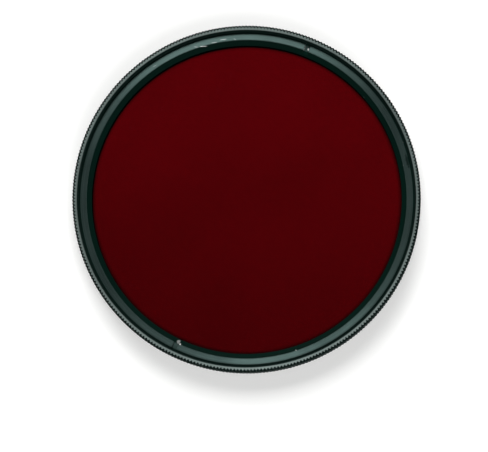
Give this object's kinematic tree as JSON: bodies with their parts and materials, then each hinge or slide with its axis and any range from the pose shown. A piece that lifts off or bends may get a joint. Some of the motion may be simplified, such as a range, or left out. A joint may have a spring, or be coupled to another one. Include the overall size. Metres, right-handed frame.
{
  "type": "infrared lens filter",
  "caption": "Round screw-in infrared filter: deep red glass held by a slotted retaining ring in a black aluminium frame with a finely ridged rim, notched at its front edge, and a thread at each end.",
  "frame": {"origin": "on the optical axis, in the plane of the rear end of the male thread", "axes": "+Z along the optical axis towards the subject; +Y is the picture's up and +X its right"},
  "size_m": [0.079, 0.079, 0.0087],
  "materials": {
    "frame_black": "black anodised, fine turning marks",
    "ring_black": "black anodised, satin turned face",
    "red_glass": "polished, very deep red"
  },
  "bodies": {
    "root": {"filter_frame": "frame_black", "filter_glass": "red_glass", "retaining_ring": "ring_black"}
  },
  "joints": []
}
